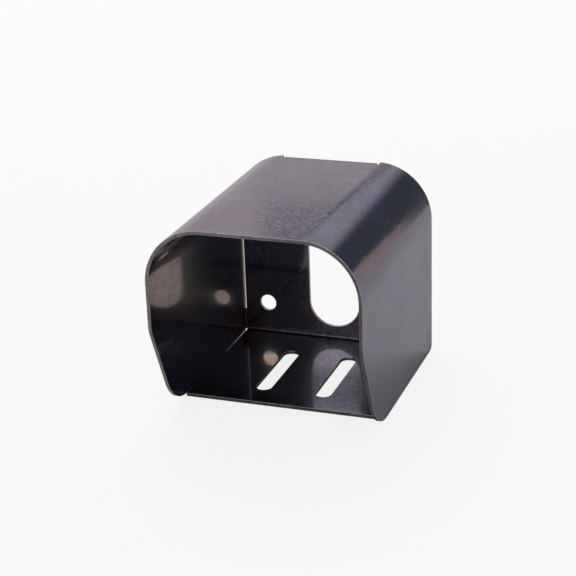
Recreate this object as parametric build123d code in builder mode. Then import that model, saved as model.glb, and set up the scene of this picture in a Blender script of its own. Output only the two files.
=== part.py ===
from build123d import *
import os

# Overall size of the folded housing
width = 90.0
depth = 103.2
height = 86.4
sheet = 1.5

# Hood, the flat top with its two rounded shoulders and the side walls
shoulder_radius = 24.2
wall_lift = 0.75
kink_height = 41.8
sweep_back = 18.0
kink_radius = 13.5
tip_radius = 21.0
heel_radius = 3.0

# Fold from the top into the back and from the back into the floor
fold_inner_radius = 1.0
fold_width = 42.0
relief_width = 1.2
relief_depth = 4.0
seam_gap = 0.9
floor_setback = 29.2
floor_corner_radius = 1.0

# Tack weld that closes the lower end of each side seam
tack_height = 10.0

# Screw hole and cable opening in the back
screw_hole_diameter = 7.5
screw_hole_x = -32.0
screw_hole_z = 15.6
cable_opening_width = 23.4
cable_opening_length = 60.0
cable_opening_bottom = 7.1

# Two mounting slots in the floor
slot_width = 7.0
slot_length = 42.0
slot_spacing = 26.7
slot_from_back = 41.5

# Positions that follow from the sizes above
front_y = -depth / 2
back_y = depth / 2
half_width = width / 2
inner_half_width = half_width - sheet
panel_half_width = inner_half_width - seam_gap
panel_top = height - sheet - seam_gap
fold_outer_radius = fold_inner_radius + sheet
floor_front_y = front_y + floor_setback
fold_start_y = back_y - relief_depth
opening_centre_z = cable_opening_bottom + cable_opening_length / 2
slot_centre_y = back_y - slot_from_back
back_plane = Plane.XZ.offset(-back_y)

# Hood bent from the sheet, trimmed to the side outline
with BuildPart() as hood:
    with BuildSketch(back_plane) as arch:
        with BuildLine():
            FilletPolyline(
                (-half_width, 0),
                (-half_width, height),
                (half_width, height),
                (half_width, 0),
                radius=shoulder_radius,
            )
            Line((half_width, 0), (-half_width, 0))
        make_face()
        with BuildLine():
            FilletPolyline(
                (-inner_half_width, 0),
                (-inner_half_width, height - sheet),
                (inner_half_width, height - sheet),
                (inner_half_width, 0),
                radius=shoulder_radius - sheet,
            )
            Line((inner_half_width, 0), (-inner_half_width, 0))
        make_face(mode=Mode.SUBTRACT)
    extrude(amount=depth)
    # Side outline with the slanted front edge
    with BuildSketch(Plane.YZ) as side_outline:
        with BuildLine():
            Polyline(
                (front_y, height),
                (front_y, kink_height),
                (front_y + sweep_back, wall_lift),
                (back_y, wall_lift),
                (back_y, height),
                close=True,
            )
        make_face()
        kink = side_outline.vertices().sort_by_distance((front_y, kink_height))[0]
        fillet(kink, radius=kink_radius)
        tip = side_outline.vertices().sort_by_distance((front_y + sweep_back, wall_lift))[0]
        fillet(tip, radius=tip_radius)
        heel = side_outline.vertices().sort_by_distance((back_y, wall_lift))[0]
        fillet(heel, radius=heel_radius)
    extrude(amount=half_width, both=True, mode=Mode.INTERSECT)
    # Gap left for the rear fold and its two relief notches
    with BuildSketch(Plane.XY.offset(height)) as fold_gap:
        with Locations((0, back_y - relief_depth / 2)):
            Rectangle(fold_width + 2 * relief_width, relief_depth)
    extrude(amount=-fold_outer_radius, mode=Mode.SUBTRACT)

# Back and floor folded from the rear edge of the top
with BuildPart() as back_and_floor:
    with BuildSketch(Plane.YZ) as folded_strip:
        with BuildLine():
            FilletPolyline(
                (fold_start_y, height),
                (back_y, height),
                (back_y, 0),
                (floor_front_y, 0),
                radius=fold_outer_radius,
            )
            Line((floor_front_y, 0), (floor_front_y, sheet))
            FilletPolyline(
                (floor_front_y, sheet),
                (back_y - sheet, sheet),
                (back_y - sheet, height - sheet),
                (fold_start_y, height - sheet),
                radius=fold_inner_radius,
            )
            Line((fold_start_y, height - sheet), (fold_start_y, height))
        make_face()
    extrude(amount=panel_half_width, both=True)
    # Panel outline that clears the rounded shoulders
    with BuildSketch(back_plane) as panel_outline:
        with BuildLine():
            FilletPolyline(
                (-panel_half_width, 0),
                (-panel_half_width, panel_top),
                (panel_half_width, panel_top),
                (panel_half_width, 0),
                radius=shoulder_radius - sheet - seam_gap,
            )
            Line((panel_half_width, 0), (-panel_half_width, 0))
        make_face()
        with Locations((0, height / 2)):
            Rectangle(fold_width, height)
    extrude(amount=depth, mode=Mode.INTERSECT)
    front_corners = back_and_floor.edges().filter_by(Axis.Z).group_by(Axis.Y)[0]
    fillet(front_corners, radius=floor_corner_radius)

# Tack welds, flush with the folded strip
with BuildPart() as tacks:
    extrude(folded_strip.sketch, amount=inner_half_width, both=True)
    with Locations((0, back_y, tack_height / 2)):
        Box(width, 2 * fold_outer_radius, tack_height, mode=Mode.INTERSECT)
        Box(2 * panel_half_width, 2 * fold_outer_radius, tack_height, mode=Mode.SUBTRACT)

# One welded piece with its openings
with BuildPart() as housing:
    add(hood.part)
    add(back_and_floor.part)
    add(tacks.part)
    with BuildSketch(back_plane) as back_cuts:
        with Locations((screw_hole_x, screw_hole_z)):
            Circle(screw_hole_diameter / 2)
        with Locations((0, opening_centre_z)):
            SlotOverall(cable_opening_length, cable_opening_width, rotation=90)
    extrude(amount=sheet, mode=Mode.SUBTRACT)
    with BuildSketch(Plane.XY) as floor_cuts:
        with Locations((-slot_spacing / 2, slot_centre_y), (slot_spacing / 2, slot_centre_y)):
            SlotOverall(slot_length, slot_width, rotation=90)
    extrude(amount=sheet, mode=Mode.SUBTRACT)

housing.part.label = "housing"

os.makedirs("parts", exist_ok=True)
export_step(housing.part, "parts/housing.step")
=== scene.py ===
import math

import bpy
from mathutils import Matrix, Vector


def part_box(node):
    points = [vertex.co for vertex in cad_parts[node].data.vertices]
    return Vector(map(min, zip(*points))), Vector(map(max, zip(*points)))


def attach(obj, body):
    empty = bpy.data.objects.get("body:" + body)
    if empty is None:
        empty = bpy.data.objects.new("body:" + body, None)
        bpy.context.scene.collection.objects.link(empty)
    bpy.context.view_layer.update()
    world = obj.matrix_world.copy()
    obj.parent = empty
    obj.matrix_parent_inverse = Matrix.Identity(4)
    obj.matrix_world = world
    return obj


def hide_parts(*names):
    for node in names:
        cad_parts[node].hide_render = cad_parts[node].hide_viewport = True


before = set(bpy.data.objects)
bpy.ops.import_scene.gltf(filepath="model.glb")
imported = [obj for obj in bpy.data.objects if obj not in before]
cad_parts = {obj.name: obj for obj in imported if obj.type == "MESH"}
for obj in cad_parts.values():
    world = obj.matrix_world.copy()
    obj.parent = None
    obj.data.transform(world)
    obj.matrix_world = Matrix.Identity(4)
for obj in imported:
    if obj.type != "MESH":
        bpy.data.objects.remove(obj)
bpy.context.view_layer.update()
LOW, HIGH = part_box("housing")

bl_info = {
    "name": "Camera Housing",
    "version": (1, 0, 0),
    "blender": (4, 5, 0),
    "location": "View3D > Sidebar > Housing",
    "description": "Folded sheet-steel camera housing on a pale studio floor",
    "category": "Object",
}

# Short names for the frame's directions
ALONG_X = Vector((1, 0, 0))
ALONG_Y = Vector((0, 1, 0))
ALONG_Z = Vector((0, 0, 1))
MM = 0.001
TOLERANCE = 0.00002

# How finely round shapes are divided, in degrees for each step
BEND_STEP = 2.0
HOLE_STEP = 6.0

# How far the outline cutters and the hole cutters reach past the sheet
OUTLINE_CLEAR = 5 * MM
HOLE_CLEAR = 3 * MM

# Edges sharper than the first angle are cut edges, and are broken. Gentler ones than the other
# two are shaded smooth, on the sheet and on the weld beads.
CUT_ANGLE = math.radians(40)
SMOOTH_ANGLE = math.radians(60)
BEAD_SMOOTH_ANGLE = math.radians(50)


class HousingSizes(bpy.types.PropertyGroup):
    width: bpy.props.FloatProperty(
        name="Width", description="Outside width over the side walls",
        default=HIGH.x - LOW.x, unit="LENGTH", precision=5)
    depth: bpy.props.FloatProperty(
        name="Depth", description="Length from the open front to the back",
        default=HIGH.y - LOW.y, unit="LENGTH", precision=5)
    height: bpy.props.FloatProperty(
        name="Height", description="Height from the underside of the floor to the top",
        default=HIGH.z - LOW.z, unit="LENGTH", precision=5)
    sheet: bpy.props.FloatProperty(
        name="Sheet", description="Thickness of the steel sheet",
        default=0.0015, unit="LENGTH", precision=5)
    shoulder_radius: bpy.props.FloatProperty(
        name="Shoulder radius", description="Outside radius of the two rounded shoulders",
        default=0.0242, unit="LENGTH", precision=5)
    wall_lift: bpy.props.FloatProperty(
        name="Wall lift", description="Height of the side walls' lower edge over the ground",
        default=0.00075, unit="LENGTH", precision=5)
    kink_height: bpy.props.FloatProperty(
        name="Kink height", description="Height where the front edge starts to slant back",
        default=0.0418, unit="LENGTH", precision=5)
    sweep_back: bpy.props.FloatProperty(
        name="Sweep back", description="How far the slanted front edge leads back",
        default=0.018, unit="LENGTH", precision=5)
    kink_radius: bpy.props.FloatProperty(
        name="Kink radius", description="Rounding of the front edge at the kink",
        default=0.0135, unit="LENGTH", precision=5)
    tip_radius: bpy.props.FloatProperty(
        name="Tip radius", description="Rounding of the wall's lower front corner",
        default=0.021, unit="LENGTH", precision=5)
    heel_radius: bpy.props.FloatProperty(
        name="Heel radius", description="Rounding of the wall's lower rear corner",
        default=0.003, unit="LENGTH", precision=5)
    fold_radius: bpy.props.FloatProperty(
        name="Fold radius", description="Inside radius of the two tight folds",
        default=0.001, unit="LENGTH", precision=5)
    fold_width: bpy.props.FloatProperty(
        name="Fold width", description="Width of the rear fold",
        default=0.042, unit="LENGTH", precision=5)
    relief_width: bpy.props.FloatProperty(
        name="Relief width", description="Width of the notch at each end of the rear fold",
        default=0.0012, unit="LENGTH", precision=5)
    relief_depth: bpy.props.FloatProperty(
        name="Relief depth", description="Depth of the notch at each end of the rear fold",
        default=0.004, unit="LENGTH", precision=5)
    seam_gap: bpy.props.FloatProperty(
        name="Seam gap", description="Gap between the folded strip and the hood in front",
        default=0.00033, unit="LENGTH", precision=5)
    seam_opening: bpy.props.FloatProperty(
        name="Seam opening", description="How much wider the seams are at the back",
        default=0.0003, unit="LENGTH", precision=5)
    floor_setback: bpy.props.FloatProperty(
        name="Floor setback", description="Distance from the front to the floor's front edge",
        default=0.0292, unit="LENGTH", precision=5)
    tack_height: bpy.props.FloatProperty(
        name="Tack height", description="Height of the weld at each lower rear corner",
        default=0.010, unit="LENGTH", precision=5)
    arris: bpy.props.FloatProperty(
        name="Arris", description="Width of the broken edge round every cut",
        default=0.00014, unit="LENGTH", precision=5)


class OpeningSizes(bpy.types.PropertyGroup):
    screw_hole_diameter: bpy.props.FloatProperty(
        name="Screw hole", description="Diameter of the screw hole in the back",
        default=0.0075, unit="LENGTH", precision=5)
    screw_hole_x: bpy.props.FloatProperty(
        name="Screw hole across", description="Place of the screw hole from the middle",
        default=-0.032, unit="LENGTH", precision=5)
    screw_hole_z: bpy.props.FloatProperty(
        name="Screw hole up", description="Height of the screw hole's centre",
        default=0.0156, unit="LENGTH", precision=5)
    cable_width: bpy.props.FloatProperty(
        name="Cable opening width", description="Width of the upright opening in the back",
        default=0.0234, unit="LENGTH", precision=5)
    cable_length: bpy.props.FloatProperty(
        name="Cable opening length", description="Height of the upright opening in the back",
        default=0.060, unit="LENGTH", precision=5)
    cable_bottom: bpy.props.FloatProperty(
        name="Cable opening bottom", description="Height of the opening's lower end",
        default=0.0071, unit="LENGTH", precision=5)
    slot_width: bpy.props.FloatProperty(
        name="Slot width", description="Width of the two slots in the floor",
        default=0.007, unit="LENGTH", precision=5)
    slot_length: bpy.props.FloatProperty(
        name="Slot length", description="Length of the two slots in the floor",
        default=0.042, unit="LENGTH", precision=5)
    slot_spacing: bpy.props.FloatProperty(
        name="Slot spacing", description="Distance between the slots' centre lines",
        default=0.0267, unit="LENGTH", precision=5)
    slot_from_back: bpy.props.FloatProperty(
        name="Slot from back", description="Distance from the back to the slots' middle",
        default=0.0415, unit="LENGTH", precision=5)


class SteelColours(bpy.types.PropertyGroup):
    outside: bpy.props.FloatVectorProperty(
        name="Outside", description="Colour of the oiled steel sheet outside",
        subtype="COLOR", size=3, min=0, max=1, default=(0.165, 0.143, 0.166))
    inside: bpy.props.FloatVectorProperty(
        name="Inside", description="Colour of the oiled steel sheet inside",
        subtype="COLOR", size=3, min=0, max=1, default=(0.133, 0.124, 0.138))
    cut_edge: bpy.props.FloatVectorProperty(
        name="Cut edge", description="Colour of the cut edges of the sheet",
        subtype="COLOR", size=3, min=0, max=1, default=(0.235, 0.200, 0.203))
    arris: bpy.props.FloatVectorProperty(
        name="Arris", description="Colour of the bright broken edge round every cut",
        subtype="COLOR", size=3, min=0, max=1, default=(0.42, 0.40, 0.43))
    heat_tint: bpy.props.FloatVectorProperty(
        name="Heat tint", description="Colour of the sheet beside the tack welds",
        subtype="COLOR", size=3, min=0, max=1, default=(0.085, 0.052, 0.042))
    ground: bpy.props.FloatVectorProperty(
        name="Ground", description="Colour of the studio floor",
        subtype="COLOR", size=3, min=0, max=1, default=(0.88, 0.88, 0.88))


# Selecting and editing as by hand


def deselect_all():
    if bpy.context.object and bpy.context.object.mode != "OBJECT":
        bpy.ops.object.mode_set(mode="OBJECT")
    bpy.ops.object.select_all(action="DESELECT")


def make_active(piece):
    deselect_all()
    piece.select_set(True)
    bpy.context.view_layer.objects.active = piece


class Pen:
    """Draws a line in one plane as by hand, with extruded runs and spun bends."""

    def __init__(self, name, across, up, start, heading=0.0):
        self.across, self.up = Vector(across), Vector(up)
        self.axis = self.across.cross(self.up)
        self.place, self.heading = Vector(start), heading
        deselect_all()
        bpy.ops.mesh.primitive_plane_add(size=MM, location=self.place)
        self.piece = bpy.context.object
        self.piece.name = name
        bpy.ops.object.transform_apply(location=True, rotation=True, scale=True)
        bpy.ops.object.mode_set(mode="EDIT")
        bpy.ops.mesh.select_mode(type="VERT")
        bpy.ops.mesh.select_all(action="SELECT")
        bpy.ops.mesh.merge(type="CENTER")

    def _direction(self, heading):
        turned = math.radians(heading)
        return self.across * math.cos(turned) + self.up * math.sin(turned)

    def line_to(self, place):
        move = Vector(place) - self.place
        bpy.ops.mesh.extrude_vertices_move(TRANSFORM_OT_translate={"value": tuple(move)})
        self.place = Vector(place)

    def run(self, length):
        self.line_to(self.place + self._direction(self.heading) * length)

    def bend(self, radius, degrees, step=BEND_STEP):
        """Turns to the left for a positive angle and to the right for a negative one."""
        side = math.copysign(1.0, degrees)
        centre = self.place + self._direction(self.heading + 90 * side) * radius
        bpy.ops.mesh.spin(
            steps=max(2, round(abs(degrees) / step)), angle=-math.radians(degrees),
            center=tuple(centre), axis=tuple(self.axis))
        self.heading += degrees
        self.place = centre + self._direction(self.heading - 90 * side) * radius

    def sheet(self, stretch):
        """Draws the line out into an open sheet."""
        bpy.ops.mesh.select_all(action="SELECT")
        bpy.ops.mesh.extrude_region_move(TRANSFORM_OT_translate={"value": tuple(stretch)})
        bpy.ops.object.mode_set(mode="OBJECT")
        return self.piece

    def solid(self, stretch, material):
        """Closes the line, fills it and draws it out into a solid cutter."""
        bpy.ops.mesh.select_all(action="SELECT")
        bpy.ops.mesh.remove_doubles(threshold=TOLERANCE / 2)
        bpy.ops.mesh.select_all(action="SELECT")
        bpy.ops.mesh.edge_face_add()
        bpy.ops.mesh.extrude_region_move(TRANSFORM_OT_translate={"value": tuple(stretch)})
        bpy.ops.mesh.select_all(action="SELECT")
        bpy.ops.mesh.normals_make_consistent(inside=False)
        bpy.ops.object.mode_set(mode="OBJECT")
        self.piece.data.materials.append(material)
        return self.piece


def give_finishes(piece, finishes):
    for finish in finishes:
        piece.data.materials.append(finish)


def turn_faces(piece, inner_point):
    """Turns an open sheet's faces away from a point inside it."""
    face = piece.data.polygons[0]
    if face.normal.dot(face.center - Vector(inner_point)) < 0:
        make_active(piece)
        bpy.ops.object.mode_set(mode="EDIT")
        bpy.ops.mesh.select_all(action="SELECT")
        bpy.ops.mesh.flip_normals()
        bpy.ops.object.mode_set(mode="OBJECT")


def thicken(piece, thickness):
    """Gives a sheet its thickness inwards: outside, inside and cut edges each keep a finish."""
    make_active(piece)
    wall = piece.modifiers.new("thickness", "SOLIDIFY")
    wall.thickness = thickness
    wall.offset = -1
    wall.use_even_offset = True
    wall.use_quality_normals = True
    wall.material_offset = 1
    wall.material_offset_rim = 2
    bpy.ops.object.modifier_apply(modifier=wall.name)


def join_or_cut(piece, other, operation):
    make_active(piece)
    joint = piece.modifiers.new("cut", "BOOLEAN")
    joint.operation = operation
    joint.solver = "EXACT"
    joint.material_mode = "TRANSFER"
    joint.object = other
    bpy.ops.object.modifier_apply(modifier=joint.name)
    bpy.data.objects.remove(other)


def round_slot(name, across, up, centre, width, length, stretch, material):
    """A solid cutter with round ends, its long way along up."""
    straight = length - width
    start = Vector(centre) + Vector(across) * width / 2 - Vector(up) * straight / 2
    pen = Pen(name, across, up, start, heading=90)
    if straight > TOLERANCE:
        pen.run(straight)
    pen.bend(width / 2, 180, HOLE_STEP)
    if straight > TOLERANCE:
        pen.run(straight)
    pen.bend(width / 2, 180, HOLE_STEP)
    return pen.solid(stretch, material)


def merge_flats(piece):
    """Merges the flat faces that the joints and cuts have split."""
    make_active(piece)
    bpy.ops.object.mode_set(mode="EDIT")
    bpy.ops.mesh.select_all(action="SELECT")
    bpy.ops.mesh.remove_doubles(threshold=TOLERANCE / 4)
    bpy.ops.mesh.select_all(action="SELECT")
    bpy.ops.mesh.dissolve_limited(angle_limit=math.radians(0.2), delimit={"MATERIAL"})
    bpy.ops.object.mode_set(mode="OBJECT")


def flatten_corners(piece):
    """Presses back the corner points that the rounding pushed out of the top and the back."""
    make_active(piece)
    for axis, limit in ((1, HIGH.y), (2, HIGH.z)):
        for point in piece.data.vertices:
            point.select = point.co[axis] > limit
        bpy.ops.object.mode_set(mode="EDIT")
        bpy.ops.mesh.select_mode(type="VERT")
        pressed, through = [1.0, 1.0, 1.0], [0.0, 0.0, 0.0]
        pressed[axis], through[axis] = 0.0, limit
        bpy.ops.transform.resize(value=pressed, center_override=through)
        bpy.ops.mesh.select_all(action="DESELECT")
        bpy.ops.object.mode_set(mode="OBJECT")


def break_edges(piece, width, finish):
    """Rounds every cut edge a little and gives the faces smooth, steady normals."""
    make_active(piece)
    piece.data.materials.append(finish)
    bevel = piece.modifiers.new("arris", "BEVEL")
    bevel.width = width
    bevel.segments = 2
    bevel.limit_method = "ANGLE"
    bevel.angle_limit = CUT_ANGLE
    bevel.use_clamp_overlap = False
    bevel.material = len(piece.data.materials) - 1
    bpy.ops.object.modifier_apply(modifier=bevel.name)
    flatten_corners(piece)
    bpy.ops.object.shade_smooth_by_angle(angle=SMOOTH_ANGLE)
    steady = piece.modifiers.new("steady", "WEIGHTED_NORMAL")
    steady.mode = "FACE_AREA"
    steady.weight = 80
    steady.keep_sharp = True
    bpy.ops.object.modifier_apply(modifier=steady.name)


# Finishes


class Graph:
    """Lays and links the nodes of one material or of the world."""

    def __init__(self, tree):
        self.nodes, self.links = tree.nodes, tree.links

    def object_place(self):
        return self.nodes.new("ShaderNodeTexCoord").outputs["Object"]

    def noise(self, place, pattern):
        texture = self.nodes.new("ShaderNodeTexNoise")
        for name, number in zip(("Scale", "Detail", "Roughness"), pattern):
            texture.inputs[name].default_value = number
        self.links.new(place, texture.inputs["Vector"])
        return texture.outputs["Fac"]

    def remap(self, value, low, high, to_low, to_high):
        node = self.nodes.new("ShaderNodeMapRange")
        self.links.new(value, node.inputs["Value"])
        for name, number in (("From Min", low), ("From Max", high),
                             ("To Min", to_low), ("To Max", to_high)):
            node.inputs[name].default_value = number
        return node.outputs["Result"]

    def feed(self, sockets, values):
        """Sets each socket to its constant, or links it to its node's output."""
        for socket, value in zip(sockets, values):
            if isinstance(value, (int, float, tuple)):
                socket.default_value = value
            else:
                self.links.new(value, socket)

    def calculate(self, operation, first, second):
        node = self.nodes.new("ShaderNodeMath")
        node.operation = operation
        self.feed(node.inputs, (first, second))
        return node.outputs["Value"]

    def mix(self, factor, first, second, blend="MIX"):
        node = self.nodes.new("ShaderNodeMix")
        node.data_type = "RGBA"
        node.blend_type = blend
        colours = [socket for socket in node.inputs if socket.type == "RGBA"]
        self.feed([node.inputs["Factor"]] + colours, (factor, first, second))
        return next(socket for socket in node.outputs if socket.type == "RGBA")

    def distance(self, place, point):
        node = self.nodes.new("ShaderNodeVectorMath")
        node.operation = "DISTANCE"
        self.links.new(place, node.inputs[0])
        node.inputs[1].default_value = point
        return node.outputs["Value"]

    def flattened(self, place):
        """The place as seen along X, for what runs along it."""
        node = self.nodes.new("ShaderNodeVectorMath")
        node.operation = "MULTIPLY"
        self.links.new(place, node.inputs[0])
        node.inputs[1].default_value = ALONG_Y + ALONG_Z
        return node.outputs["Vector"]

    def toned(self, colour, tone):
        """A colour made darker and lighter by a pattern."""
        node = self.nodes.new("ShaderNodeVectorMath")
        node.operation = "SCALE"
        node.inputs[0].default_value = tuple(colour)
        self.links.new(tone, node.inputs["Scale"])
        return node.outputs["Vector"]

    def bump(self, height, strength, distance, under=None):
        node = self.nodes.new("ShaderNodeBump")
        node.inputs["Strength"].default_value = strength
        node.inputs["Distance"].default_value = distance
        self.links.new(height, node.inputs["Height"])
        if under:
            self.links.new(under, node.inputs["Normal"])
        return node.outputs["Normal"]

    def mix_shaders(self, factor, first, second):
        node = self.nodes.new("ShaderNodeMixShader")
        self.links.new(factor, node.inputs["Fac"])
        self.links.new(first, node.inputs[1])
        self.links.new(second, node.inputs[2])
        return node.outputs["Shader"]

    def show(self, surface):
        self.links.new(surface, self.nodes["Material Output"].inputs["Surface"])


def new_material(name):
    """A new material with its nodes, or the one that has this name, without them."""
    material = bpy.data.materials.get(name)
    if material:
        return material, None
    material = bpy.data.materials.new(name)
    material.use_nodes = True
    return material, Graph(material.node_tree)


def rgba(colour):
    return (colour[0], colour[1], colour[2], 1.0)


# Patterns in the metal: scale, detail and roughness of the noise
CLOUDS = (38, 4, 0.55)
SPECKLE = (850, 4, 0.75)
PITS = (330, 5, 0.8)
HUES = (62, 3, 0.5)
BLOTCHES = (260, 2, 0.5)
SMEARS = (90, 5, 0.6)
WAVES = (26, 1, 0.4)
CUT_RIBS = (1500, 2, 0.6)
CUT_STAINS = (170, 3, 0.6)
WELD_SCALE = (1400, 3, 0.6)
WELD_HEAT = (420, 2, 0.5)

WARM_HUE = (1.035, 0.985, 0.965, 1.0)
COOL_HUE = (0.965, 1.0, 1.04, 1.0)
OIL_TINT = (0.94, 0.95, 1.0, 1.0)
WELD_BLUE = (0.055, 0.060, 0.085, 1.0)

# The heat tint reaches this far from a weld's middle, and fades from the first distance on
HEAT_REACH = (5.5 * MM, 12.5 * MM)
# The sheet is duller beside the fold, fading between these distances
FOLD_REACH = (1.2 * MM, 3.5 * MM)
# A painted reflection of the screw hole on the inside floor, a warm disc, not oil: place, radius,
# width of its rim and colour
HOLE_REFLECTION_PAINT = ((-0.0196, 0.0192, 0.0015), 6 * MM, 2 * MM, (0.42, 0.26, 0.18, 1.0))

CUT_ROUGHNESS = 0.42
ARRIS_ROUGHNESS = 0.3

OUTSIDE_LOOK = {"roughness": 0.10, "edge_tint": (0.81, 0.79, 0.81), "oil": 0.25, "haze": 0.5,
                "speckling": 0.16, "glitter": 0.175, "dimples": 0.03 * MM}
INSIDE_LOOK = {"roughness": 0.055, "edge_tint": (0.66, 0.63, 0.68), "oil": 0.80, "haze": 0.27,
               "speckling": 0.52, "glitter": 0.04, "dimples": 0.01 * MM, "painted_reflection": HOLE_REFLECTION_PAINT}


def sheet_finish(name, colour, heat_colour, welds, fold_line, roughness, edge_tint, oil, haze,
                 speckling, glitter, dimples, painted_reflection=None):
    """Oiled cold-rolled steel: cloudy, finely speckled and half mirror-like."""
    material, graph = new_material(name)
    if graph is None:
        return material
    shader = graph.nodes["Principled BSDF"]
    place = graph.object_place()
    # Colour
    speckle = graph.noise(place, SPECKLE)
    shade = graph.remap(graph.noise(place, CLOUDS), 0.3, 0.7, 0.86, 1.12)
    grain = graph.remap(speckle, 0.35, 0.65, 1 - speckling, 1 + speckling)
    spots = graph.remap(graph.noise(place, PITS), 0.34, 0.50, 1 - speckling, 1.0)
    tone = graph.calculate("MULTIPLY", shade, grain)
    tone = graph.calculate("MULTIPLY", tone, spots)
    hues = graph.remap(graph.noise(place, HUES), 0.35, 0.65, 0, 1)
    tinted = graph.mix(1.0, graph.toned(colour, tone), graph.mix(hues, WARM_HUE, COOL_HUE),
                       "MULTIPLY")
    for weld in welds:
        blotch = graph.remap(graph.noise(place, BLOTCHES), 0.3, 0.7, 0.85, 1.15)
        away = graph.calculate("MULTIPLY", graph.distance(place, weld), blotch)
        heated = graph.remap(away, *HEAT_REACH, 0.85, 0.0)
        tinted = graph.mix(heated, tinted, rgba(heat_colour))
    # Painted reflection: a warm disc on the inside floor where the screw hole's reflection lies
    if painted_reflection:
        spot, radius, rim, reflection_colour = painted_reflection
        oiled = graph.remap(graph.distance(place, spot), radius, radius + rim, 0.9, 0.0)
        tinted = graph.mix(oiled, tinted, reflection_colour)
    graph.links.new(tinted, shader.inputs["Base Color"])
    # Mirror and oil film
    shader.inputs["Metallic"].default_value = 1.0
    shader.inputs["Specular Tint"].default_value = rgba(edge_tint)
    shader.inputs["Coat Weight"].default_value = oil
    shader.inputs["Coat Roughness"].default_value = haze
    shader.inputs["Coat IOR"].default_value = 1.5
    shader.inputs["Coat Tint"].default_value = OIL_TINT
    # Roughness: smears, dull specks and the duller fold
    smeared = graph.remap(graph.noise(place, SMEARS), 0.3, 0.7, roughness * 0.8,
                          roughness * 1.25)
    rough = graph.calculate("ADD", smeared,
                            graph.remap(speckle, 0.47, 0.68, 0.0, glitter))
    from_fold = graph.distance(graph.flattened(place), fold_line)
    rough = graph.calculate("ADD", rough, graph.remap(from_fold, *FOLD_REACH, 0.30, 0.0))
    graph.links.new(rough, shader.inputs["Roughness"])
    # Fine dimples on a slightly wavy sheet
    dimpled = graph.bump(speckle, 0.5, dimples)
    wavy = graph.bump(graph.noise(place, WAVES), 0.6, 0.22 * MM, under=dimpled)
    graph.links.new(wavy, shader.inputs["Normal"])
    return material


def edge_finish(name, colour, roughness):
    """The laser-cut edge of the sheet: duller, warmer and finely ribbed."""
    material, graph = new_material(name)
    if graph is None:
        return material
    shader = graph.nodes["Principled BSDF"]
    place = graph.object_place()
    ribs = graph.noise(place, CUT_RIBS)
    tone = graph.calculate("MULTIPLY", graph.remap(ribs, 0.3, 0.7, 0.75, 1.25),
                           graph.remap(graph.noise(place, CUT_STAINS), 0.3, 0.7, 0.8, 1.15))
    graph.links.new(graph.toned(colour, tone), shader.inputs["Base Color"])
    shader.inputs["Metallic"].default_value = 1.0
    shader.inputs["Roughness"].default_value = roughness
    graph.links.new(graph.bump(ribs, 0.35, 0.06 * MM), shader.inputs["Normal"])
    return material


def weld_finish(colour):
    """Weld metal: dark, brown and blue from the heat, with a little scale."""
    material, graph = new_material("tack_weld")
    if graph is None:
        return material
    shader = graph.nodes["Principled BSDF"]
    place = graph.object_place()
    scale = graph.noise(place, WELD_SCALE)
    heat = graph.remap(graph.noise(place, WELD_HEAT), 0.35, 0.65, 0, 1)
    graph.links.new(graph.mix(heat, rgba(colour), WELD_BLUE), shader.inputs["Base Color"])
    shader.inputs["Metallic"].default_value = 1.0
    graph.links.new(graph.remap(scale, 0.3, 0.7, 0.30, 0.55), shader.inputs["Roughness"])
    graph.links.new(graph.bump(scale, 0.3, 0.05 * MM), shader.inputs["Normal"])
    return material


def seam_middle(sizes):
    """Distance of each side seam's middle from the housing's middle, at the back."""
    return sizes.width / 2 - sizes.sheet - (sizes.seam_gap + sizes.seam_opening) / 2


def weld_points(sizes):
    inner_face = LOW.y + sizes.depth - sizes.sheet
    return [Vector((side * seam_middle(sizes), inner_face, sizes.tack_height / 2))
            for side in (-1, 1)]


def steel_finishes(scene):
    """The finishes of the sheet's outside, inside and cut edges, in a sheet's slot order."""
    colours, sizes = scene.steel_colours, scene.housing_sizes
    welds = weld_points(sizes)
    into_bend = 0.3 * MM
    fold_line = (0, LOW.y + sizes.depth - sizes.sheet - into_bend, sizes.sheet + into_bend)
    outside = sheet_finish("steel_outside", colours.outside, colours.heat_tint, welds,
                           fold_line, **OUTSIDE_LOOK)
    inside = sheet_finish("steel_inside", colours.inside, colours.heat_tint, welds,
                          fold_line, **INSIDE_LOOK)
    cut = edge_finish("steel_cut_edge", colours.cut_edge, CUT_ROUGHNESS)
    return outside, inside, cut


# Pieces


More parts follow.
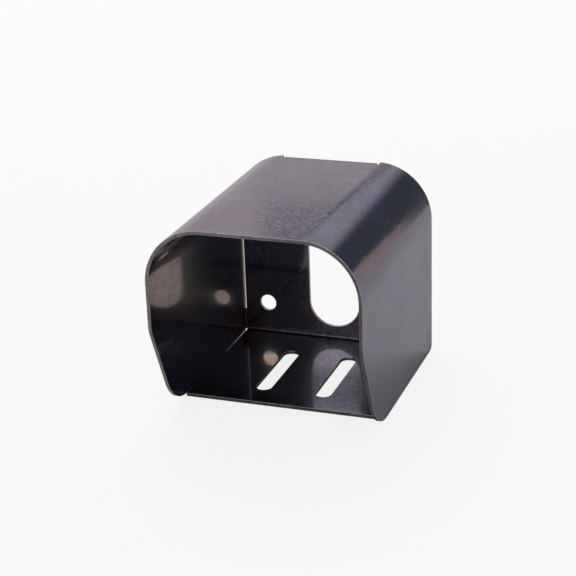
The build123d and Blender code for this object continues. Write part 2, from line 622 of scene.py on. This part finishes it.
class HOUSING_OT_hood(bpy.types.Operator):
    """Bend the hood from the sheet and trim it to its side outline"""
    bl_idname = "housing.hood"
    bl_label = "Hood"

    def execute(self, context):
        s = context.scene.housing_sizes
        finishes = steel_finishes(context.scene)
        cut = finishes[-1]
        half, front, back, top = s.width / 2, LOW.y, LOW.y + s.depth, s.height
        pen = Pen("hood", ALONG_X, ALONG_Z, (-half, front, 0), heading=90)
        pen.run(top - s.shoulder_radius)
        pen.bend(s.shoulder_radius, -90)
        pen.run(s.width - 2 * s.shoulder_radius)
        pen.bend(s.shoulder_radius, -90)
        pen.run(top - s.shoulder_radius)
        hood = pen.sheet(ALONG_Y * s.depth)
        give_finishes(hood, finishes)
        turn_faces(hood, (0, 0, top / 2))
        thicken(hood, s.sheet)
        # Side outline
        clear = OUTLINE_CLEAR
        slant = math.hypot(s.sweep_back, s.kink_height - s.wall_lift)
        lean = math.degrees(math.atan2(s.sweep_back, s.kink_height - s.wall_lift))
        kink = s.kink_radius * math.tan(math.radians(lean / 2))
        tip = s.tip_radius * math.tan(math.radians((90 - lean) / 2))
        pen = Pen("side_outline", ALONG_Y, ALONG_Z, (-half - clear, front, top + clear),
                  heading=-90)
        pen.run(top + clear - s.kink_height - kink)
        pen.bend(s.kink_radius, lean)
        pen.run(slant - kink - tip)
        pen.bend(s.tip_radius, 90 - lean)
        pen.run(s.depth - s.sweep_back - tip - s.heel_radius)
        pen.bend(s.heel_radius, 90, HOLE_STEP)
        pen.line_to((-half - clear, back, top + clear))
        outline = pen.solid(ALONG_X * (s.width + 2 * clear), cut)
        join_or_cut(hood, outline, "INTERSECT")
        # Gap for the rear fold with its two relief notches
        gap_width = s.fold_width + 2 * s.relief_width
        fold_height = s.fold_radius + s.sheet
        start = (-gap_width / 2, back - s.relief_depth, top - fold_height)
        pen = Pen("fold_gap", ALONG_X, ALONG_Z, start)
        pen.run(gap_width)
        pen.line_to(pen.place + ALONG_Z * (fold_height + clear))
        pen.line_to(pen.place - ALONG_X * gap_width)
        gap = pen.solid(ALONG_Y * (s.relief_depth + clear), cut)
        join_or_cut(hood, gap, "DIFFERENCE")
        return {"FINISHED"}


class HOUSING_OT_folded_strip(bpy.types.Operator):
    """Fold the back and the floor and join them to the hood"""
    bl_idname = "housing.folded_strip"
    bl_label = "Back and floor"

    def execute(self, context):
        s = context.scene.housing_sizes
        finishes = steel_finishes(context.scene)
        cut = finishes[-1]
        back, top = LOW.y + s.depth, s.height
        panel_half = s.width / 2 - s.sheet - s.seam_gap
        outer = s.fold_radius + s.sheet
        overlap = 0.5 * MM
        pen = Pen("folded_strip", ALONG_Y, ALONG_Z,
                  (-panel_half, back - s.relief_depth - overlap, top))
        pen.run(s.relief_depth + overlap - outer)
        pen.bend(outer, -90, HOLE_STEP)
        pen.run(top - 2 * outer)
        pen.bend(outer, -90, HOLE_STEP)
        pen.run(s.depth - s.floor_setback - outer)
        strip = pen.sheet(ALONG_X * 2 * panel_half)
        give_finishes(strip, finishes)
        turn_faces(strip, (0, 0, top / 2))
        thicken(strip, s.sheet)
        # Panel outline that clears the shoulders
        clear = OUTLINE_CLEAR
        radius = s.shoulder_radius - s.sheet - s.seam_gap
        panel_top = top - s.sheet - s.seam_gap
        shoulder = math.degrees(math.acos(
            max(0.0, 1 - (panel_half - s.fold_width / 2) / radius)))
        near = LOW.y - clear
        pen = Pen("panel_outline", ALONG_X, ALONG_Z, (-panel_half, near, -clear), heading=90)
        pen.run(panel_top + clear - radius)
        pen.bend(radius, -shoulder)
        pen.line_to((-s.fold_width / 2, near, top + clear))
        pen.line_to((s.fold_width / 2, near, top + clear))
        right = Vector((panel_half - radius * (1 - math.cos(math.radians(shoulder))), near,
                        panel_top - radius * (1 - math.sin(math.radians(shoulder)))))
        pen.line_to(right)
        pen.heading = shoulder - 90
        pen.bend(radius, -shoulder)
        pen.run(panel_top + clear - radius)
        outline = pen.solid(ALONG_Y * (s.depth + 2 * clear), cut)
        join_or_cut(strip, outline, "INTERSECT")
        # The seams open a little towards the back
        floor_front, past = LOW.y + s.floor_setback, MM
        for side in (-1, 1):
            outer_x, narrowed_x = side * (panel_half + past), side * (panel_half - s.seam_opening)
            pen = Pen("seam_opening", ALONG_X, ALONG_Y, (outer_x, floor_front, -past))
            pen.line_to((side * panel_half, floor_front, -past))
            pen.line_to((narrowed_x, back, -past))
            pen.line_to((narrowed_x, back + past, -past))
            pen.line_to((outer_x, back + past, -past))
            join_or_cut(strip, pen.solid(ALONG_Z * (top + 2 * past), cut), "DIFFERENCE")
        join_or_cut(bpy.data.objects["hood"], strip, "UNION")
        return {"FINISHED"}


class HOUSING_OT_openings(bpy.types.Operator):
    """Cut the screw hole, the cable opening and the two floor slots, and break all edges"""
    bl_idname = "housing.openings"
    bl_label = "Openings"

    def execute(self, context):
        s, o = context.scene.housing_sizes, context.scene.opening_sizes
        cut = steel_finishes(context.scene)[-1]
        body = bpy.data.objects["hood"]
        back, clear = LOW.y + s.depth, HOLE_CLEAR
        through_back = ALONG_Y * (s.sheet + 2 * clear)
        start_y = back - s.sheet - clear
        centre_z = o.cable_bottom + o.cable_length / 2
        slot_y = back - o.slot_from_back
        through_floor = ALONG_Z * (s.sheet + 2 * clear)
        cutters = [
            round_slot("screw_hole", ALONG_X, ALONG_Z, (o.screw_hole_x, start_y, o.screw_hole_z),
                       o.screw_hole_diameter, o.screw_hole_diameter, through_back, cut),
            round_slot("cable_opening", ALONG_X, ALONG_Z, (0, start_y, centre_z),
                       o.cable_width, o.cable_length, through_back, cut),
        ]
        for side in (-1, 1):
            cutters.append(round_slot(
                "floor_slot", ALONG_X, ALONG_Y, (side * o.slot_spacing / 2, slot_y, -clear),
                o.slot_width, o.slot_length, through_floor, cut))
        for cutter in cutters:
            join_or_cut(body, cutter, "DIFFERENCE")
        merge_flats(body)
        arris_colour = context.scene.steel_colours.arris
        break_edges(body, s.arris, edge_finish("steel_arris", arris_colour, ARRIS_ROUGHNESS))
        body.name = "housing_sheet"
        body.data.name = "housing_sheet"
        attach(body, "root")
        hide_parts("housing")
        return {"FINISHED"}


# Rings of a weld bead, each a share of its width and a step up in millimetres
BEAD_FOOT = 0.35
BEAD_RINGS = ((0.50, 0.25), (0.80, 0.35), (0.98, 0.40))
RIPPLE_RINGS = ((0.90, 0.26), (1.00, 0.20), (0.98, 0.26))
BEAD_TIP = (0.2, 0.12)
# Half the bead's width in the seam and its half depth through the sheet
BEAD_ACROSS, BEAD_THROUGH = 0.95 * MM, 1.2 * MM
# The height that its two ends take, and how far and how fast it wanders sideways
BEAD_ENDS = 2.4 * MM
BEAD_SWAY = 0.05 * MM
SWAY_TURN = 1.7


class HOUSING_OT_tack_welds(bpy.types.Operator):
    """Lay the rippled tack weld in the lower end of each side seam"""
    bl_idname = "housing.tack_welds"
    bl_label = "Tack welds"

    def execute(self, context):
        s = context.scene.housing_sizes
        inner_face = LOW.y + s.depth - s.sheet
        sunk = 0.25 * MM
        place = Vector((-seam_middle(s), inner_face + sunk, s.sheet))
        deselect_all()
        bpy.ops.mesh.primitive_circle_add(
            vertices=20, radius=BEAD_ACROSS, fill_type="NGON", location=place)
        bead = bpy.context.object
        bead.name = "tack_weld_left"
        bpy.ops.object.transform_apply(location=True, rotation=True, scale=True)
        bpy.ops.object.mode_set(mode="EDIT")
        bpy.ops.mesh.select_all(action="SELECT")
        size = BEAD_FOOT
        bpy.ops.transform.resize(value=(size, size * BEAD_THROUGH / BEAD_ACROSS, 1),
                                 center_override=place)
        ripple_height = sum(step for _, step in RIPPLE_RINGS) * MM
        count = round((s.tack_height - BEAD_ENDS) / ripple_height)
        rings = BEAD_RINGS + RIPPLE_RINGS * count + BEAD_RINGS[::-1] + (BEAD_TIP,)
        for turn, (share, step) in enumerate(rings):
            bpy.ops.mesh.extrude_region_move(
                TRANSFORM_OT_translate={"value": (0, 0, step * MM)})
            place = place + ALONG_Z * step * MM
            bpy.ops.transform.resize(value=(share / size, share / size, 1),
                                     center_override=place)
            sway = BEAD_SWAY * math.sin(SWAY_TURN * turn)
            bpy.ops.transform.translate(value=(sway, 0, 0))
            place = place + ALONG_X * sway
            size = share
        bpy.ops.mesh.select_all(action="SELECT")
        bpy.ops.mesh.normals_make_consistent(inside=False)
        bpy.ops.object.mode_set(mode="OBJECT")
        bpy.ops.object.shade_smooth_by_angle(angle=BEAD_SMOOTH_ANGLE)
        bead.data.materials.append(weld_finish(context.scene.steel_colours.heat_tint))
        make_active(bead)
        bpy.ops.object.duplicate(linked=False)
        twin = bpy.context.object
        twin.name = "tack_weld_right"
        bpy.ops.object.mode_set(mode="EDIT")
        bpy.ops.mesh.select_all(action="SELECT")
        bpy.ops.transform.translate(value=(2 * seam_middle(s), 0, 0))
        bpy.ops.object.mode_set(mode="OBJECT")
        for piece in (bead, twin):
            piece.data.name = piece.name
            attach(piece, "root")
        return {"FINISHED"}


# The studio


class STUDIO_OT_stage(bpy.types.Operator):
    """Lay the pale floor, place the cards and the lamp, and set the camera"""
    bl_idname = "studio.stage"
    bl_label = "Studio"

    def execute(self, context):
        lay_floor(context.scene)
        for card in CARDS:
            place_card(*card)
        light_studio(context.scene)
        set_camera(context.scene)
        return {"FINISHED"}


def seen_directly(graph, camera_share, mirror_share):
    """How much of the plain white a ray sees: the camera's own, and those in the metal."""
    path = graph.nodes.new("ShaderNodeLightPath")
    by_camera = graph.calculate("MULTIPLY", path.outputs["Is Camera Ray"], camera_share)
    mirrored = graph.calculate("MAXIMUM", path.outputs["Is Glossy Ray"],
                               path.outputs["Is Transmission Ray"])
    by_mirror = graph.calculate("MULTIPLY", mirrored, mirror_share)
    return graph.calculate("MAXIMUM", by_camera, by_mirror)


def lay_floor(scene):
    deselect_all()
    bpy.ops.mesh.primitive_plane_add(size=FLOOR_SIZE, location=(0, 0, 0))
    floor = bpy.context.object
    floor.name = "studio_floor"
    material, graph = new_material("studio_floor")
    shader = graph.nodes["Principled BSDF"]
    shader.inputs["Base Color"].default_value = rgba(scene.steel_colours.ground)
    shader.inputs["Roughness"].default_value = 0.9
    shader.inputs["Specular IOR Level"].default_value = 0.1
    white = graph.nodes.new("ShaderNodeEmission")
    graph.show(graph.mix_shaders(seen_directly(graph, FLOOR_WHITE, 0.0),
                                 shader.outputs["BSDF"], white.outputs["Emission"]))
    floor.data.materials.append(material)


def card_material(name, look, colour):
    """A plain card glows in its colour, a faded one from nothing on, and a pane tints."""
    material, graph = new_material(name)
    if graph is None:
        return material
    glow = graph.nodes.new("ShaderNodeEmission")
    glow.inputs["Color"].default_value = rgba(colour)
    clear = graph.nodes.new("ShaderNodeBsdfTransparent")
    if look == "pane":
        clear.inputs["Color"].default_value = rgba(colour)
        graph.show(clear.outputs["BSDF"])
    elif look == "faded":
        place = graph.nodes.new("ShaderNodeSeparateXYZ")
        graph.links.new(graph.object_place(), place.inputs[0])
        slanted = graph.calculate("MULTIPLY", place.outputs["Z"], FADE_SLANT)
        slanted = graph.calculate("ADD", place.outputs["X"], slanted)
        graph.show(graph.mix_shaders(graph.remap(slanted, *FADE_REACH, 0, 1),
                                     clear.outputs["BSDF"], glow.outputs["Emission"]))
    else:
        graph.show(glow.outputs["Emission"])
    return material


def place_card(name, look, colour, corners):
    """A studio card or pane that shows only in the metal's reflections."""
    pen = Pen(name, ALONG_X, ALONG_Z, corners[0])
    for corner in corners[1:]:
        pen.line_to(corner)
    bpy.ops.mesh.select_all(action="SELECT")
    bpy.ops.mesh.edge_face_add()
    bpy.ops.object.mode_set(mode="OBJECT")
    card = pen.piece
    card.data.materials.append(card_material(name, look, colour))
    card.visible_camera = False
    card.visible_diffuse = False
    card.visible_shadow = False


def upright(depth, *outline):
    """Corners of a card that stands at a depth behind the housing."""
    return [(across, depth, up) for across, up in outline]


def standing(depth, low, high):
    """Corners of an upright rectangle."""
    return upright(depth, low, (high[0], low[1]), high, (low[0], high[1]))


def lying(low, high):
    """Corners of a rectangle that lies just over the floor."""
    height = 0.5 * MM
    return [(low[0], low[1], height), (high[0], low[1], height),
            (high[0], high[1], height), (low[0], high[1], height)]


FLOOR_SIZE = 12
FLOOR_WHITE = 0.85
SKY_DEPTH = 1.3

# The faded card's glow grows along X less a share of the height, over these distances
FADE_SLANT = -0.7
FADE_REACH = (-0.181, -0.066)

# Each card's name, look, colour and corners
CARDS = (
    ("navy_card", "faded", (0.095, 0.122, 0.185), upright(
        0.533, (0.245, -0.012), (0.268, -0.008), (0.281, 0.055), (0.290, 0.095),
        (0.312, 0.110), (0.318, 0.147), (0.50, 0.20), (0.50, 0.49), (0.13, 0.49),
        (0.0, 0.29), (0.0, 0.18))),
    ("rosy_card", "plain", (0.83, 0.715, 0.70), standing(0.553, (0.24, -0.05), (0.60, 0.22))),
    ("dark_bar", "plain", (0.03, 0.05, 0.13), upright(
        0.83, (-0.335, 0.398), (-0.19, 0.390), (-0.03, 0.390), (-0.03, 0.418),
        (-0.15, 0.426), (-0.19, 0.440), (-0.24, 0.440), (-0.335, 0.432))),
    ("cool_card", "plain", (0.89, 0.95, 1.06), upright(
        0.90, (-0.380, 0.46), (-0.23, 0.46), (-0.21, 0.43), (-0.03, 0.43), (0.0, 0.38),
        (1.1, 0.30), (1.1, 1.9), (-0.380, 1.9))),
    # A near-black card just in front of the floor's front edge, seen only in the metal: a painted
    # shadow, standing for the contact shadow there
    ("painted_contact_shadow", "plain", (0.04, 0.04, 0.05), lying((-0.0445, -0.033), (0.0445, -0.0228))),
    ("fore_mat", "plain", (0.24, 0.24, 0.33), lying((-0.0445, -0.12), (0.0445, -0.033))),
    ("warm_mat", "plain", (0.88, 0.73, 0.59), lying((-0.044, 0.054), (0.040, 0.26))),
    ("brown_mat", "plain", (0.10, 0.08, 0.085), lying((-0.065, -0.30), (0.06, -0.121))),
    ("blue_sky", "plain", (0.90, 0.86, 0.96), standing(SKY_DEPTH, (-0.4, 0.0), (0.24, 0.42))),
    ("cool_glass", "pane", (1.03, 1.075, 1.115), lying((0.0455, -0.3), (0.9, 1.5))),
    ("dim_glass", "pane", (0.80, 0.79, 0.81), lying((-1.0, 0.4), (-0.2, 1.25))),
    ("rosy_sky", "plain", (1.085, 1.02, 1.035), standing(SKY_DEPTH, (-1.2, 0.42), (-0.1, 1.0))),
    ("dim_sky", "plain", (0.86, 0.81, 0.85), standing(SKY_DEPTH, (-1.2, 0.0), (-0.4, 0.42))),
)

ROOM_LIGHT = 0.45
LAMP_PLACE = Vector((-0.55, 0.95, 1.35))
LAMP_SIZE = 1.6
LAMP_WATTS = 13


def light_studio(scene):
    world = bpy.data.worlds.new("studio")
    scene.world = world
    world.use_nodes = True
    graph = Graph(world.node_tree)
    plain = graph.nodes["Background"]
    white = graph.nodes.new("ShaderNodeBackground")
    for background, strength in ((plain, ROOM_LIGHT), (white, 1.0)):
        background.inputs["Color"].default_value = (1, 1, 1, 1)
        background.inputs["Strength"].default_value = strength
    mixed = graph.mix_shaders(seen_directly(graph, 1.0, 1.0), plain.outputs["Background"],
                              white.outputs["Background"])
    graph.links.new(mixed, graph.nodes["World Output"].inputs["Surface"])
    deselect_all()
    bpy.ops.object.light_add(type="AREA", location=LAMP_PLACE)
    lamp = bpy.context.object
    lamp.name = "soft_lamp"
    lamp.data.shape = "DISK"
    lamp.data.size = LAMP_SIZE
    lamp.data.energy = LAMP_WATTS
    lamp.rotation_mode = "QUATERNION"
    lamp.rotation_quaternion = (-LAMP_PLACE).to_track_quat("-Z", "Y")
    lamp.visible_glossy = False


CAMERA_PLACE = Vector((0.21201, -0.58539, 0.29112))
CAMERA_RIGHT = Vector((0.94229, 0.33313, -0.03338))
CAMERA_FORWARD = Vector((-0.32157, 0.87279, -0.36719))
CAMERA_LENS = 99.807


def set_camera(scene):
    deselect_all()
    bpy.ops.object.camera_add(location=CAMERA_PLACE)
    camera = bpy.context.object
    camera.name = "photo_camera"
    camera.data.sensor_width = 36
    camera.data.lens = CAMERA_LENS
    camera.data.clip_start = 0.05
    camera.data.clip_end = 50
    back = -CAMERA_FORWARD.normalized()
    right = (CAMERA_RIGHT - back * CAMERA_RIGHT.dot(back)).normalized()
    turned = Matrix((right, back.cross(right), back)).transposed()
    camera.rotation_euler = turned.to_euler()
    scene.camera = camera
    scene.view_settings.view_transform = "Standard"


class HOUSING_PT_panel(bpy.types.Panel):
    """Sizes, colours and building steps of the camera housing"""
    bl_idname = "HOUSING_PT_panel"
    bl_label = "Camera housing"
    bl_space_type = "VIEW_3D"
    bl_region_type = "UI"
    bl_category = "Housing"

    def draw(self, context):
        column = self.layout.column()
        for step in PIECE_STEPS:
            column.operator(step.bl_idname)
        for group in ("housing_sizes", "opening_sizes", "steel_colours"):
            settings = getattr(context.scene, group)
            for name in settings.bl_rna.properties.keys():
                if name not in ("rna_type", "name"):
                    column.prop(settings, name)


PIECE_STEPS = (HOUSING_OT_hood, HOUSING_OT_folded_strip, HOUSING_OT_openings,
               HOUSING_OT_tack_welds, STUDIO_OT_stage)
CLASSES = (HousingSizes, OpeningSizes, SteelColours) + PIECE_STEPS + (HOUSING_PT_panel,)


def register():
    for item in CLASSES:
        bpy.utils.register_class(item)
    bpy.types.Scene.housing_sizes = bpy.props.PointerProperty(type=HousingSizes)
    bpy.types.Scene.opening_sizes = bpy.props.PointerProperty(type=OpeningSizes)
    bpy.types.Scene.steel_colours = bpy.props.PointerProperty(type=SteelColours)


def unregister():
    del bpy.types.Scene.steel_colours
    del bpy.types.Scene.opening_sizes
    del bpy.types.Scene.housing_sizes
    for item in reversed(CLASSES):
        bpy.utils.unregister_class(item)


def main():
    register()
    bpy.ops.housing.hood()
    bpy.ops.housing.folded_strip()
    bpy.ops.housing.openings()
    bpy.ops.housing.tack_welds()
    bpy.ops.studio.stage()


if __name__ == "__main__":
    main()
